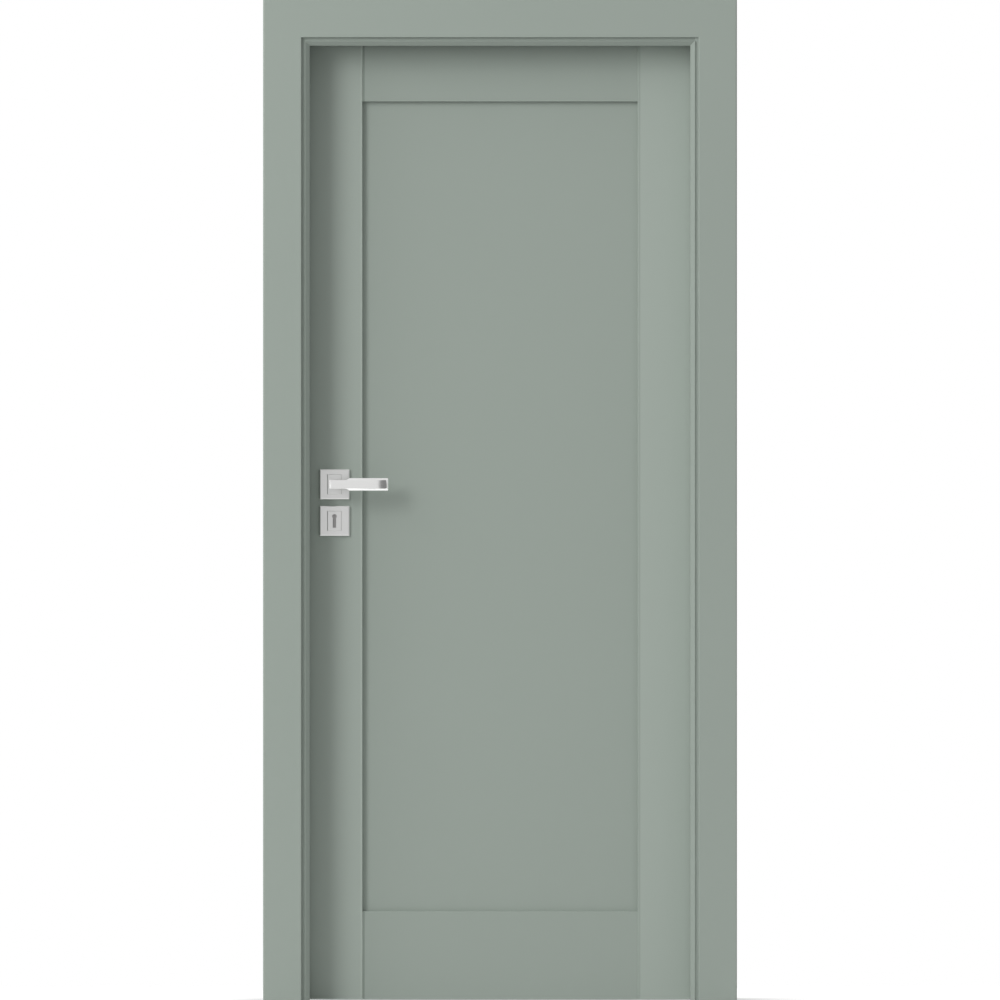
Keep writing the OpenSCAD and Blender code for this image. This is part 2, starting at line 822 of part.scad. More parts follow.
// Base with sleeves in the leaf, which takes the bolts' ends
module sleeve_base() {
    difference() {
        union() {
            base_block();
            for (side = [-1, 1])
                translate([side * bolt_x, -base_t / 2, 0]) rotate([-90, 0, 0])
                    cylinder(h = base_t / 2 + sleeve_len, r = sleeve_r);
        }
        for (side = [-1, 1])
            translate([side * bolt_x, -sleeve_len / 2, 0]) rotate([-90, 0, 0])
                cylinder(h = 2 * sleeve_len, r = bolt_r + bolt_play);
        children();
    }
}

// Base with sunk holes, which takes the bolts' heads
module bolted_base() {
    difference() {
        base_block();
        for (side = [-1, 1]) {
            translate([side * bolt_x, over, 0]) rotate([90, 0, 0])
                cylinder(h = base_t + 2 * over, r = bolt_r + bolt_play);
            translate([side * bolt_x, bolt_head_h - base_t, 0]) rotate([90, 0, 0])
                cylinder(h = bolt_head_h + over, r = bolt_head_r + bolt_play);
        }
        children();
    }
}

// Two bolts, drawn in the frame of the back base with their heads towards -Y
module bolt_pair() {
    for (side = [-1, 1])
        translate([side * bolt_x, -base_t, 0]) rotate([-90, 0, 0]) {
            cylinder(h = bolt_head_h, r = bolt_head_r);
            cylinder(h = bolt_head_h + bolt_len, r = bolt_r);
        }
}

// Lever section in (depth, height): depth 0 is the face
module lever_section() {
    polygon([
        [0, -lever_face_h / 2], [lever_bevel_d, -lever_h / 2],
        [lever_t - lever_back_bevel, -lever_h / 2], [lever_t, lever_back_bevel - lever_h / 2],
        [lever_t, lever_h / 2 - lever_back_bevel], [lever_t - lever_back_bevel, lever_h / 2],
        [lever_bevel_d, lever_h / 2], [0, lever_face_h / 2]
    ]);
}

// Waste beyond a bevel across a corner at the origin, with the metal towards -X and +Y
module end_bevel_waste() {
    side = 2 * lever_h;
    translate([-lever_end_bevel, 0, 0]) rotate([0, 0, -atan2(lever_end_bevel, lever_end_bevel_d)])
        translate([0, -side / 2, -side / 2]) cube(side);
}

// Waste above the lever's root, which ends in a hollow where the grip starts
module root_waste() {
    rotate([90, 0, 0]) linear_extrude(2 * lever_reach, center = true) {
        translate([-lever_heel - over, root_h / 2]) square([lever_heel + over + root_len, flare_r]);
        translate([root_len, root_h / 2])
            intersection() {
                translate([0, flare_r]) circle(flare_r);
                square(flare_r);
            }
    }
}

module grip() {
    difference() {
        union() {
            translate([-lever_heel, 0, 0]) rotate([90, 0, 90])
                linear_extrude(lever_heel + tip_start) lever_section();
            translate([tip_start, tip_r, 0]) rotate([0, 0, -90])
                rotate_extrude(angle = tip_bend)
                    translate([tip_r, 0]) mirror([1, 0]) lever_section();
        }
        translate([tip_start, tip_r, 0]) rotate([0, 0, tip_bend]) translate([0, -tip_r, 0]) end_bevel_waste();
        translate([-lever_heel, 0, 0]) mirror([1, 0, 0]) end_bevel_waste();
        root_waste();
        mirror([0, 0, 1]) root_waste();
    }
}

module square_bar(w, from, to) {
    translate([-w / 2, from, -w / 2]) cube([w, to - from, w]);
}

module lever() {
    difference() {
        union() {
            translate([0, -lever_reach, 0]) grip();
            translate([0, -neck_lift, 0]) rotate([90, 0, 0])
                cylinder(h = lever_reach - lever_t / 2 - neck_lift, r = neck_r);
        }
        square_bar(spindle_w + 2 * spindle_play, -spindle_reach - spindle_play, over);
        translate([0, -grub_off, -neck_r - over]) cylinder(h = neck_r + over, r = grub_r);
    }
}

module grub_screw() {
    length = neck_r - spindle_w / 2 - 2 * spindle_play;
    translate([0, -grub_off, spindle_play - neck_r]) difference() {
        cylinder(h = length, r = grub_r - spindle_play / 2);
        translate([0, 0, -over]) linear_extrude(socket_d + over)
            polygon([for (turn = [0 : 60 : 300]) socket_r * [cos(turn), sin(turn)]]);
    }
}

// Places on the two faces of the leaf; the pull side is the mirror image
module on_push_face(z) {
    translate([spindle_x, push_y, z]) children();
}

module on_pull_face(z) {
    translate([spindle_x, pull_y, z]) mirror([0, 1, 0]) children();
}

// Sub-parts of the frame
module lock_jamb() {
    color(paint) difference() {
        lock_side() upright() jamb_profile();
        strike_seat();
        bolt_pockets();
        strike_screw_set(dowel_play);
        all_mitre_dowels(dowel_play);
    }
}

module hinge_jamb() {
    color(paint) difference() {
        hinge_side() upright() jamb_profile();
        for (z = hinge_heights) at_hinge(z) frame_stud(stud_play);
        all_mitre_dowels(dowel_play);
    }
}

module head_jamb() {
    color(paint) difference() {
        head_run() jamb_profile();
        all_mitre_dowels(dowel_play);
    }
}

module front_casing_lock_side() {
    color(paint) lock_side() upright() front_casing_profile();
}

module front_casing_hinge_side() {
    color(paint) hinge_side() upright() front_casing_profile();
}

module front_casing_head() {
    color(paint) head_run() front_casing_profile();
}

module back_casing_lock_side() {
    color(paint) difference() {
        lock_side() upright() back_casing_profile();
        strike_seat();
        bolt_pockets();
        strike_screw_set(dowel_play);
    }
}

module back_casing_hinge_side() {
    color(paint) difference() {
        hinge_side() upright() back_casing_profile();
        for (z = hinge_heights) at_hinge(z) frame_stud(stud_play);
    }
}

module back_casing_head() {
    color(paint) head_run() back_casing_profile();
}

module seal_lock_side() {
    color(seal_grey) lock_side() upright() seal_profile();
}

module seal_hinge_side() {
    color(seal_grey) hinge_side() upright() seal_profile();
}

module seal_head() {
    color(seal_grey) head_run() seal_profile();
}

module corner_dowels() {
    color(raw_wood) all_mitre_dowels(0);
}

module strike_plate() {
    color(zinc) difference() {
        strike_body();
        bolt_pockets();
        strike_screw_set(dowel_play);
    }
}

module strike_screws() {
    color(zinc) difference() {
        strike_screw_set(0);
        at_strike_screws() screw_recess();
    }
}

module hinge_frame_top() {
    color(satin_chrome) at_hinge(hinge_top_z) hinge_frame_part();
}

module hinge_frame_middle() {
    color(satin_chrome) at_hinge(hinge_middle_z) hinge_frame_part();
}

module hinge_frame_bottom() {
    color(satin_chrome) at_hinge(hinge_bottom_z) hinge_frame_part();
}

module hinge_pin_top() {
    color(zinc) at_hinge(hinge_top_z) hinge_pin();
}

module hinge_pin_middle() {
    color(zinc) at_hinge(hinge_middle_z) hinge_pin();
}

module hinge_pin_bottom() {
    color(zinc) at_hinge(hinge_bottom_z) hinge_pin();
}

module hinge_washer_top() {
    color(zinc) at_hinge(hinge_top_z) hinge_washer();
}

module hinge_washer_middle() {
    color(zinc) at_hinge(hinge_middle_z) hinge_washer();
}

module hinge_washer_bottom() {
    color(zinc) at_hinge(hinge_bottom_z) hinge_washer();
}

// Sub-parts of the leaf
module hinge_leaf_top() {
    color(satin_chrome) at_hinge(hinge_top_z) hinge_leaf_part();
}

module hinge_leaf_middle() {
    color(satin_chrome) at_hinge(hinge_middle_z) hinge_leaf_part();
}

module hinge_leaf_bottom() {
    color(satin_chrome) at_hinge(hinge_bottom_z) hinge_leaf_part();
}

module lock_stile() {
    color(paint) difference() {
        stile();
        all_rail_dowels(dowel_play);
        lock_mortise();
    }
}

module hinge_stile() {
    color(paint) difference() {
        mirror([1, 0, 0]) stile();
        all_rail_dowels(dowel_play);
        for (z = hinge_heights) at_hinge(z) leaf_stud(stud_play);
    }
}

module top_rail() {
    color(paint) difference() {
        union() {
            translate([0, 0, leaf_top]) rotate([0, 90, 0])
                linear_extrude(rail_len, center = true) lipped_profile(top_rail_h, rail_setback, rail_r);
            difference() {
                tenons(top_rail_z + panel_groove_d, leaf_top);
                top_rebate_waste();
            }
        }
        all_rail_dowels(dowel_play);
    }
}

module bottom_rail() {
    color(paint) difference() {
        union() {
            translate([0, 0, floor_gap]) rotate([0, -90, 0])
                linear_extrude(rail_len, center = true) bar_profile(bottom_rail_h, rail_setback, rail_r);
            tenons(floor_gap, bottom_rail_z - panel_groove_d);
        }
        all_rail_dowels(dowel_play);
    }
}

module panel() {
    side = panel_groove_d - panel_room;
    low = bottom_rail_z - panel_groove_d;
    color(paint) translate([-rail_len / 2 - side, mid_y - panel_t / 2, low])
        cube([rail_len + 2 * side, panel_t, top_rail_z + side - low]);
}

module rail_dowels() {
    color(raw_wood) all_rail_dowels(0);
}

// Sub-parts of the lock
module lock_case() {
    color(zinc) {
        difference() {
            translate([case_x, lock_y - case_t / 2 + case_wall, case_z])
                cube([case_d, case_t - case_wall, case_h]);
            translate([case_x - over, lock_y - case_t / 2, case_z + case_wall])
                cube([case_d + over - case_wall, case_t - case_wall, case_h - 2 * case_wall]);
            lock_holes();
        }
        translate([post_x, lock_y + case_t / 2 - case_wall / 2, post_z]) rotate([90, 0, 0])
            cylinder(h = case_in + case_wall / 2, r = post_r);
    }
}

module lock_cover() {
    color(zinc) difference() {
        translate([case_x, lock_y - case_t / 2, case_z]) cube([case_d, case_wall, case_h]);
        lock_holes();
    }
}

module bolt_slot(z, h) {
    translate([edge_x - over, lock_y - bolt_t / 2 - lock_play, z - h / 2 - lock_play])
        cube([face_t + 2 * over, bolt_t + 2 * lock_play, h + 2 * lock_play]);
}

module lock_faceplate() {
    color(satin_chrome) difference() {
        translate([edge_x, lock_y - face_w / 2, face_z - face_len / 2]) cube([face_t, face_w, face_len]);
        bolt_slot(latch_z, latch_h);
        bolt_slot(dead_z, dead_h);
        faceplate_screw_set(dowel_play);
    }
}

module faceplate_screws() {
    color(zinc) difference() {
        faceplate_screw_set(0);
        at_faceplate_screws() screw_recess();
    }
}

module follower() {
    hub_len = case_in - 2 * lock_play;
    color(zinc) translate([spindle_x, lock_y, handle_z]) difference() {
        union() {
            rotate([90, 0, 0]) cylinder(h = hub_len, r = hub_r, center = true);
            rotate([90, 0, 0]) cylinder(h = case_t, r = journal_r, center = true);
            translate([-arm_w / 2, -hub_len / 2, 0]) cube([arm_w, arm_y - lock_y + hub_len / 2, arm_r]);
        }
        square_bar(spindle_w + 2 * spindle_play, -case_t, case_t);
    }
}

// The head is bevelled on the side that meets the frame when the leaf closes
module latch_bolt() {
    lug_y = lock_y - case_in / 2 + lock_play;
    head_end = latch_len - latch_out;
    color(satin_chrome) union() {
        translate([edge_x, lock_y, latch_z - latch_h / 2]) linear_extrude(latch_h)
            polygon([
                [-latch_out, bolt_t / 2], [-latch_out, bolt_t / 2 - latch_nose], [0, -bolt_t / 2],
                [head_end, -bolt_t / 2], [head_end, bolt_t / 2]
            ]);
        translate([edge_x + head_end - over, tail_y, latch_z - tail_h / 2])
            cube([lug_x + lug_len - edge_x - head_end + over, tail_t, tail_h]);
        translate([lug_x, lug_y, latch_z - tail_h / 2]) cube([lug_len, tail_y - lug_y + tail_t, tail_h]);
    }
}

module dead_bolt() {
    color(satin_chrome) difference() {
        union() {
            translate([edge_x + dead_recess, lock_y - bolt_t / 2, dead_z - dead_h / 2])
                cube([dead_len, bolt_t, dead_h]);
            translate([edge_x + dead_recess, lock_y - tail_t / 2, dead_z - dead_h / 2])
                cube([dead_end_x - edge_x - dead_recess, tail_t, dead_h]);
        }
        translate([talon_x - talon_w / 2, lock_y - tail_t, dead_z - dead_h / 2 - over])
            cube([talon_w, 2 * tail_t, talon_d + over]);
        translate([post_x - post_r - lock_play, lock_y - tail_t, post_z - post_r - lock_play])
            cube([dead_throw + 2 * post_r + 2 * lock_play, 2 * tail_t, 2 * post_r + 2 * lock_play]);
    }
}

// Sub-parts of the handle
module rose_front() {
    color(satin_chrome) on_push_face(handle_z) rose();
}

module rose_back() {
    color(satin_chrome) on_pull_face(handle_z) rose();
}

module rose_base_front() {
    color(zinc) on_push_face(handle_z) sleeve_base() front_bore(neck_r + neck_play);
}

module rose_base_back() {
    color(zinc) on_pull_face(handle_z) bolted_base() front_bore(neck_r + neck_play);
}

module rose_bolts() {
    color(zinc) on_pull_face(handle_z) bolt_pair();
}

module key_plate_front() {
    color(satin_chrome) on_push_face(plate_z) key_plate();
}

module key_plate_back() {
    color(satin_chrome) on_pull_face(plate_z) key_plate();
}

module key_base_front() {
    color(zinc) on_push_face(plate_z) sleeve_base()
        translate([0, 0, key_z - plate_z]) keyhole(key_room, 2 * lever_reach);
}

module key_base_back() {
    color(zinc) on_pull_face(plate_z) bolted_base()
        translate([0, 0, key_z - plate_z]) keyhole(key_room, 2 * lever_reach);
}

module key_plate_bolts() {
    color(zinc) on_pull_face(plate_z) bolt_pair();
}

// A plug in the passage of the key plate's base; the key's bit pushes through its slit
module key_guard() {
    guard_y = push_y - base_t + guard_in + guard_t / 2;
    color(seal_grey) translate([spindle_x, guard_y, key_z]) difference() {
        keyhole(key_room - dowel_play, guard_t);
        translate([-guard_slit / 2, -guard_t, key_head_r - keyhole_h])
            cube([guard_slit, 2 * guard_t, keyhole_h]);
    }
}

module lever_front() {
    color(satin_chrome) on_push_face(handle_z) lever();
}

module lever_back() {
    color(satin_chrome) on_pull_face(handle_z) lever();
}

module spindle() {
    color(zinc) translate([spindle_x, 0, handle_z])
        square_bar(spindle_w, push_y - spindle_reach, pull_y + spindle_reach);
}

module grub_screws() {
    color(zinc) {
        on_push_face(handle_z) grub_screw();
        on_pull_face(handle_z) grub_screw();
    }
}

lock_jamb();
hinge_jamb();
head_jamb();
front_casing_lock_side();
front_casing_hinge_side();
front_casing_head();
back_casing_lock_side();
back_casing_hinge_side();
back_casing_head();
seal_lock_side();
seal_hinge_side();
seal_head();
corner_dowels();
strike_plate();
strike_screws();
hinge_frame_top();
hinge_frame_middle();
hinge_frame_bottom();
hinge_pin_top();
hinge_pin_middle();
hinge_pin_bottom();
hinge_washer_top();
hinge_washer_middle();
hinge_washer_bottom();
hinge_leaf_top();
hinge_leaf_middle();
hinge_leaf_bottom();
lock_stile();
hinge_stile();
top_rail();
bottom_rail();
panel();
rail_dowels();
lock_case();
lock_cover();
lock_faceplate();
faceplate_screws();
follower();
latch_bolt();
dead_bolt();
rose_front();
rose_back();
rose_base_front();
rose_base_back();
rose_bolts();
key_plate_front();
key_plate_back();
key_base_front();
key_base_back();
key_plate_bolts();
key_guard();
lever_front();
lever_back();
spindle();
grub_screws();
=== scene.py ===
# %% [markdown]
# # A painted interior door in its frame
# The door's solids come from a CAD model, one per piece of the real door: jambs, casings, stiles, rails, a
# panel, hinges, a mortise lock and two lever handles. Blender moves none of them. This lesson gives them a
# camera, light and finishes, and models again the metal pieces whose edges catch the light.

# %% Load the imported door
import json
import math

import bpy
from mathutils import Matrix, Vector

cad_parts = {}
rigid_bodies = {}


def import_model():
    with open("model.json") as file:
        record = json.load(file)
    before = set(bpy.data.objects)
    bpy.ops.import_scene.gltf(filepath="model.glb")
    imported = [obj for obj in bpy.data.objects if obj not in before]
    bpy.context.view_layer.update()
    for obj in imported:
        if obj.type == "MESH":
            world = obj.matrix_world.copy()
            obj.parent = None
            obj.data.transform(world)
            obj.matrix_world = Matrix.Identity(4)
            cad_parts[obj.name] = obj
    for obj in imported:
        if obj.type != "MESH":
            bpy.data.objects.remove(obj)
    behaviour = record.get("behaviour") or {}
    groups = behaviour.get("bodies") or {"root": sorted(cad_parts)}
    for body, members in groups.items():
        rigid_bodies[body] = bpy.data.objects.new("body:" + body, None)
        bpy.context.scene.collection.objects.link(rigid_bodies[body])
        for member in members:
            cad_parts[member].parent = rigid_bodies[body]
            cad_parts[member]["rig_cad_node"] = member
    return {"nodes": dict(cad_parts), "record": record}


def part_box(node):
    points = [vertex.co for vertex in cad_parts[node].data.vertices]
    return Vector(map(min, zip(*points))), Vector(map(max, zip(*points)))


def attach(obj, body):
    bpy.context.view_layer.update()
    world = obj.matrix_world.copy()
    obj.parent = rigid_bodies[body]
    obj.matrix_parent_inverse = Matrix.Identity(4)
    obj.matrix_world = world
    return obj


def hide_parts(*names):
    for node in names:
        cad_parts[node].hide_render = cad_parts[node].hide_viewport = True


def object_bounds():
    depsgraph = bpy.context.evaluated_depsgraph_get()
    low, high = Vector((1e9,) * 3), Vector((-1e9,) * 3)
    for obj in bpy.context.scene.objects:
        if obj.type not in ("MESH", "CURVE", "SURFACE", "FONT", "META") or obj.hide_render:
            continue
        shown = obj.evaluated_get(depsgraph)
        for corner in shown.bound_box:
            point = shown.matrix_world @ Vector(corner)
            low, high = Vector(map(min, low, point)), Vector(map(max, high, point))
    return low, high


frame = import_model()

cad_low, cad_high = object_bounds()
record = frame["record"]
slot_of = {row["node"]: row["material_slot"] for row in record["subparts"]}
body_of = {node: body for body, nodes in record["behaviour"]["bodies"].items() for node in nodes}
print("the door measures", [round(v, 3) for v in cad_high - cad_low], "metres")

# %% [markdown]
# ## The camera
# A catalogue picture of a door has no perspective: the jambs hide their own cheeks. An orthographic camera
# would give that, but a very long lens from far away gives nearly the same and stays a real camera for other
# views. The distance follows from the lens, so that the height of the door fills the square picture. The
# picture leaves out the outermost two millimetres above and below.

# %% Camera
LENS_MM = 1500.0
SENSOR_MM = 36.0
TRIM = 0.0021
CLIP_FACTOR = 4.0
seen_height = cad_high.z - cad_low.z - 2 * TRIM
distance = seen_height * LENS_MM / SENSOR_MM
middle = Vector((0.0, cad_low.y, (cad_low.z + cad_high.z) / 2))
bpy.ops.object.camera_add(location=middle - Vector((0, distance, 0)), rotation=(math.pi / 2, 0, 0))
camera = bpy.context.object
camera.name = "long_lens"
camera.data.lens = LENS_MM
camera.data.sensor_width = SENSOR_MM
camera.data.clip_end = CLIP_FACTOR * distance
bpy.context.scene.camera = camera
bpy.context.scene.view_settings.view_transform = "Standard"
print("camera", round(distance, 2), "metres in front of the casing")

# %% [markdown]
# ## Helpers for node trees
# Every finish is a small node tree on a Principled BSDF. One helper adds a node and sets its sockets, and
# another starts a material. Colours are written as they look on a screen, from 0 to 255, and changed to the
# linear values that Blender mixes with.


# %% Node helpers
def linear(*screen):
    """Screen values from 0 to 255 as a linear colour, by the sRGB curve."""
    parts = [v / 255 for v in screen]
    return tuple(p / 12.92 if p <= 0.04045 else ((p + 0.055) / 1.055) ** 2.4 for p in parts) + (1.0,)


def add(tree, kind, sockets=None, **settings):
    """A new node. Each socket gets a value, or a link from the output of another node."""
    made = tree.nodes.new(kind)
    for name, value in settings.items():
        setattr(made, name, value)
    for name, value in (sockets or {}).items():
        socket = made.inputs[name]
        if hasattr(value, "is_output"):
            tree.links.new(value, socket)
        else:
            socket.default_value = value
    return made


def start_finish(name, **sockets):
    finish = bpy.data.materials.new(name)
    finish.use_nodes = True
    shader = finish.node_tree.nodes["Principled BSDF"]
    for socket, value in sockets.items():
        shader.inputs[socket.replace("_", " ")].default_value = value
    return finish, finish.node_tree, shader


print("a screen grey of 128 is", round(linear(128)[0], 3), "linear")

# %% [markdown]
# ### Nodes that come up often
# Sums, ramps, mixtures of two colours, noise and the place on a piece are wanted again and again, so each
# gets a function that hands back the socket to go on with. The place is read in Object coordinates: they stay
# with a piece when its body moves, and the pattern stays with them.


# %% Common nodes
def calc(tree, operation, *values):
    return add(tree, "ShaderNodeMath", dict(enumerate(values)), operation=operation).outputs[0]


def ramp(tree, value, start, end, low=0.0, high=1.0, shape="LINEAR"):
    sockets = {"Value": value, "From Min": start, "From Max": end, "To Min": low, "To Max": high}
    return add(tree, "ShaderNodeMapRange", sockets, interpolation_type=shape).outputs["Result"]


def tint(tree, factor, first, second):
    return add(tree, "ShaderNodeMix", {"Factor": factor, 6: first, 7: second}, data_type="RGBA").outputs[2]


def noise(tree, spot, scale, detail, roughness=0.5):
    sockets = {"Vector": spot, "Scale": scale, "Detail": detail, "Roughness": roughness}
    return add(tree, "ShaderNodeTexNoise", sockets).outputs["Fac"]


def length(tree, vector):
    return add(tree, "ShaderNodeVectorMath", {0: vector}, operation="LENGTH").outputs["Value"]


def place(tree):
    return add(tree, "ShaderNodeTexCoord").outputs["Object"]


def split(tree, spot):
    return add(tree, "ShaderNodeSeparateXYZ", {"Vector": spot}).outputs


print("common nodes: sums, ramps, tints, noise, lengths and places")

# %% [markdown]
# ## The studio
# The picture has a pure white ground. The world is plain white for what the camera sees directly, and a soft
# grey for the light that falls on the door, so white paper behind the door doesn't overexpose it. The soft
# light leans: it is stronger from the upper left.

# %% Soft light of the world
AMBIENT = 0.69
AMBIENT_LEAN = (-0.42, 0.0, 0.38)
world = bpy.data.worlds.new("white_studio")
bpy.context.scene.world = world
world.use_nodes = True
studio = world.node_tree
studio.nodes.clear()
direction = add(studio, "ShaderNodeTexCoord").outputs["Generated"]


def nearness(aim):
    sockets = {0: direction, 1: aim}
    return add(studio, "ShaderNodeVectorMath", sockets, operation="DOT_PRODUCT").outputs["Value"]


ambient = calc(studio, "MULTIPLY_ADD", nearness(AMBIENT_LEAN), AMBIENT, AMBIENT)
print("ambient light", AMBIENT, "leaning towards", AMBIENT_LEAN)

# %% [markdown]
# ### What the metal mirrors
# Mirrors see white walls, a front that is a little dimmer, and one grey area to the right, as from an open
# studio door. The dim front lets the bevels of the metal stand out brighter than its faces, and the grey area
# draws the bend in the lever's tip. A reach is given as two cosines: where the change starts, and where it is
# full.

# %% World in mirrors
FRONT = (0.0, -1.0, 0.0)
FRONT_REACH = (0.55, 0.95)
FRONT_DIM = 0.94
GREY_DIRECTION = (0.545, -0.839, 0.0)
GREY_REACH = (0.906, 0.974)
STUDIO_GREY = 0.28


def dimmed_towards(aim, reach, level):
    return ramp(studio, nearness(aim), *reach, 1.0, level, "SMOOTHSTEP")


dim_front = dimmed_towards(FRONT, FRONT_REACH, FRONT_DIM)
grey_right = dimmed_towards(GREY_DIRECTION, GREY_REACH, STUDIO_GREY)
reflected = calc(studio, "MULTIPLY", dim_front, grey_right)
print("mirrors see", FRONT_DIM, "in front and", STUDIO_GREY, "to the right")

# %% [markdown]
# ### One world for each kind of ray
# Light Path tells what a ray is for. A camera ray gets plain white, a mirrored one gets the studio that the
# metal shows, and all others carry the soft light. Two Mix Shaders choose between the three.

# %% World for each ray
ray = add(studio, "ShaderNodeLightPath").outputs
is_mirrored = calc(studio, "MAXIMUM", ray["Is Glossy Ray"], ray["Is Transmission Ray"])
soft_light = add(studio, "ShaderNodeBackground", {"Strength": ambient}).outputs[0]
mirrored = add(studio, "ShaderNodeBackground", {"Strength": reflected}).outputs[0]
white = add(studio, "ShaderNodeBackground", {"Color": (1, 1, 1, 1), "Strength": 1.0}).outputs[0]
seen = add(studio, "ShaderNodeMixShader", {0: is_mirrored, 1: soft_light, 2: mirrored}).outputs[0]
shown = add(studio, "ShaderNodeMixShader", {0: ray["Is Camera Ray"], 1: seen, 2: white}).outputs[0]
add(studio, "ShaderNodeOutputWorld", {"Surface": shown})
print("world: white to the camera, with", len(studio.nodes), "nodes")

# %% [markdown]
# ## The lamps
# One soft lamp stands to the upper left. Its place sets how far the jamb's shadow reaches across the stile,
# its size sets how soft the edge of that shadow is, and because it is only eight metres away the light falls
# off a little towards the lower right. A much larger one beside it, like a window, gives that shadow its long
# fading end. A third lamp stands low behind the door and is only for views of the back. It is kept out of
# reflections, because the metal there would mirror it as a glare.

# %% Lamps
door_middle = (cad_low + cad_high) / 2


def soft_lamp(name, place_m, width, height, watts):
    bpy.ops.object.light_add(type="AREA", location=place_m)
    lamp = bpy.context.object
    lamp.name = name
    lamp.data.shape = "RECTANGLE"
    lamp.data.size = width
    lamp.data.size_y = height
    lamp.data.energy = watts
    lamp.rotation_mode = "QUATERNION"
    lamp.rotation_quaternion = (door_middle - Vector(place_m)).to_track_quat("-Z", "Y")
    lamp.visible_camera = False
    print(name, "at", place_m, watts, "W")
    return lamp


soft_lamp("key_lamp", place_m=(-4.4, -5.7, 3.9), width=2.5, height=3.4, watts=169)
soft_lamp("window_lamp", place_m=(-5.6, -4.6, 4.3), width=5.6, height=5.0, watts=129)
back_lamp = soft_lamp("back_lamp", place_m=(3.2, 5.0, 1.3), width=2.1, height=1.7, watts=122)
back_lamp.visible_glossy = False

# %% [markdown]
# ## The floor
# The floor is a plain pale sheet that only carries a soft shadow. It is a plane at the foot of the frame,
# much larger than the door, and it isn't part of the object.

# %% Floor
FLOOR_HALF = 3.0
bpy.ops.object.select_all(action="DESELECT")
bpy.ops.mesh.primitive_plane_add(size=2 * FLOOR_HALF, location=(0, 0, cad_low.z))
floor = bpy.context.object
floor.name = "pale_floor"
pale = bpy.data.materials.new("pale_floor")
pale.use_nodes = True
floor.data.materials.append(pale)
ground = pale.node_tree
ground.nodes.clear()
floor_spot = place(ground)
print("floor", 2 * FLOOR_HALF, "metres square")

# %% [markdown]
# ### The floor in the doorway
# The floor will be brightened for the camera, but not in the doorway, under the leaf: there it stays as dim
# as the gap really is. That patch is a rectangle with a wide soft border, like a shadow. How far a place lies
# outside the rectangle is worked out for each direction, and the two together give a rounded border.

# %% Doorway patch
DOORWAY_HALF = 0.36
DOORWAY_MIDDLE = 0.14
DOORWAY_DEEP = 0.12
DOORWAY_FADE = 0.32


def past(distance_m, half):
    over = calc(ground, "SUBTRACT", calc(ground, "ABSOLUTE", distance_m), half)
    return calc(ground, "MAXIMUM", over, 0.0)


floor_at = split(ground, floor_spot)
behind_middle = calc(ground, "SUBTRACT", floor_at["Y"], DOORWAY_MIDDLE)
sideways = past(floor_at["X"], DOORWAY_HALF)
lengthways = past(behind_middle, DOORWAY_DEEP)
off_patch = length(ground, add(ground, "ShaderNodeCombineXYZ", {"X": sideways, "Y": lengthways}).outputs[0])
in_the_open = ramp(ground, off_patch, 0.0, DOORWAY_FADE, shape="SMOOTHSTEP")
print("doorway patch", 2 * DOORWAY_HALF, "by", 2 * DOORWAY_DEEP, "metres")

# %% [markdown]
# ### The floor's finish
# A matt floor under this light looks grey. For the camera and in mirrors it adds the light that it lacks to
# look white, and the shadow stays in it. Towards its rim it turns clear, so its far edge melts into the white
# world.

# %% Floor finish
FLOOR_GREY = 0.66
FLOOR_LIFT = 0.55
CLEAR_FROM = 0.7
ray = add(ground, "ShaderNodeLightPath").outputs
looked_at = calc(ground, "MAXIMUM", ray["Is Camera Ray"], ray["Is Glossy Ray"])
lift = calc(ground, "MULTIPLY", looked_at, calc(ground, "MULTIPLY", in_the_open, FLOOR_LIFT))
matt = add(ground, "ShaderNodeBsdfDiffuse", {"Color": (FLOOR_GREY, FLOOR_GREY, FLOOR_GREY, 1)}).outputs[0]
glow = add(ground, "ShaderNodeEmission", {"Strength": lift}).outputs[0]
lit_floor = add(ground, "ShaderNodeAddShader", {0: matt, 1: glow}).outputs[0]
clear = add(ground, "ShaderNodeBsdfTransparent").outputs[0]
rim = ramp(ground, length(ground, floor_spot), CLEAR_FROM, FLOOR_HALF, shape="SMOOTHSTEP")
melting = add(ground, "ShaderNodeMixShader", {0: rim, 1: lit_floor, 2: clear}).outputs[0]
add(ground, "ShaderNodeOutputMaterial", {"Surface": melting})
print("floor finish:", len(ground.nodes), "nodes")

# %% [markdown]
# ## The lacquer
# Frame and leaf have the same sage-green satin lacquer over fibreboard. Sprayed lacquer is never quite flat:
# it has a fine orange peel and a slight drift in colour and in gloss. The peel is a bump with grains of one
# to two millimetres. A spray gun doesn't reach everywhere alike either, so a lacquer can have a second shade,
# and a mask that says where it shows. Where a piece faces the wall or the floor the lacquer ends and the
# brown board shows, which is one more mask.

# %% Lacquer
BOARD = linear(172, 137, 98)
BOARD_DEEP = linear(146, 112, 76)
BOARD_ROUGH = 0.85
SATIN = (0.36, 0.46)
PEEL_STRENGTH = 0.10
PEEL_DEPTH = 0.0004


def sage(shade):
    return linear(shade, shade + 10, shade + 2)


